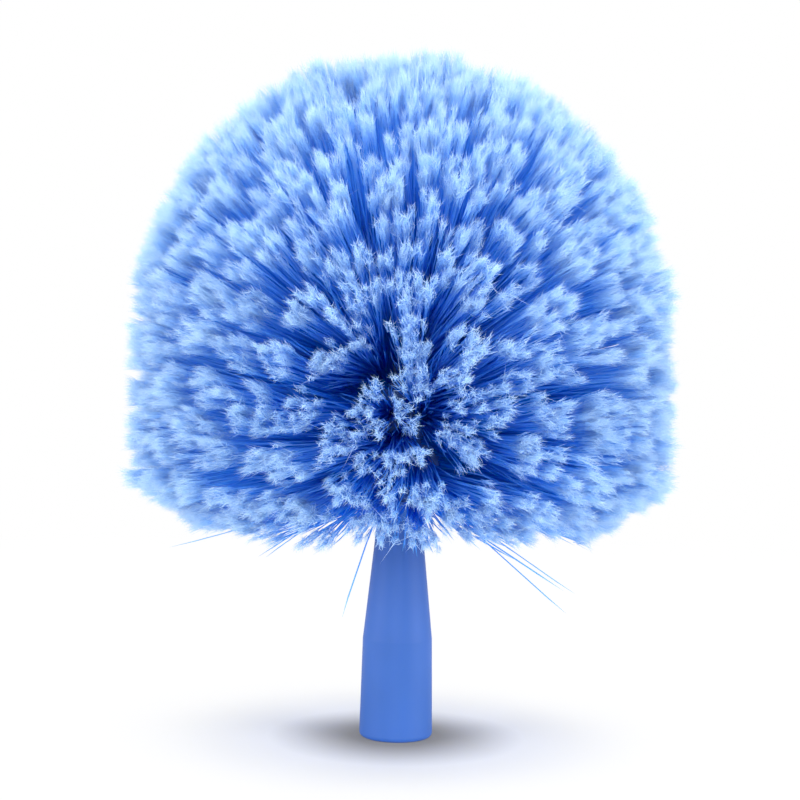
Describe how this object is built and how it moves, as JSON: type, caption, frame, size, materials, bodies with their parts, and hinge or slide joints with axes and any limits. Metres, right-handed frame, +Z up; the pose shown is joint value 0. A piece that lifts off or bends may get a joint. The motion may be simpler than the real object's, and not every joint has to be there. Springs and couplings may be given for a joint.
{
  "type": "cobweb duster head",
  "caption": "Domed cobweb duster head: a round brush of long flagged fibre tufts stapled into a plastic core, above a tapered screw socket for an extension pole.",
  "frame": {"origin": "centre of the pole socket's mouth, on the flat rim that the head stands on", "axes": "+Z up along the socket and pole axis, towards the top of the brush dome"},
  "size_m": [0.1702, 0.1695, 0.2117],
  "materials": {
    "body_plastic": "satin moulded blue plastic",
    "fibre": "deep blue synthetic fibre with pale split tips",
    "anchor_wire": "flat tinned steel wire"
  },
  "bodies": {
    "root": {"anchor_ring_01": "anchor_wire", "anchor_ring_02": "anchor_wire", "anchor_ring_03": "anchor_wire", "anchor_ring_04": "anchor_wire", "anchor_ring_05": "anchor_wire", "anchor_ring_06": "anchor_wire", "anchor_ring_07": "anchor_wire", "anchor_ring_08": "anchor_wire", "anchor_ring_09": "anchor_wire", "anchor_ring_10": "anchor_wire", "anchor_ring_11": "anchor_wire", "anchor_ring_12": "anchor_wire", "body": "body_plastic", "tuft_ring_01": "fibre", "tuft_ring_02": "fibre", "tuft_ring_03": "fibre", "tuft_ring_04": "fibre", "tuft_ring_05": "fibre", "tuft_ring_06": "fibre", "tuft_ring_07": "fibre", "tuft_ring_08": "fibre", "tuft_ring_09": "fibre", "tuft_ring_10": "fibre", "tuft_ring_11": "fibre", "tuft_ring_12": "fibre"}
  },
  "joints": []
}
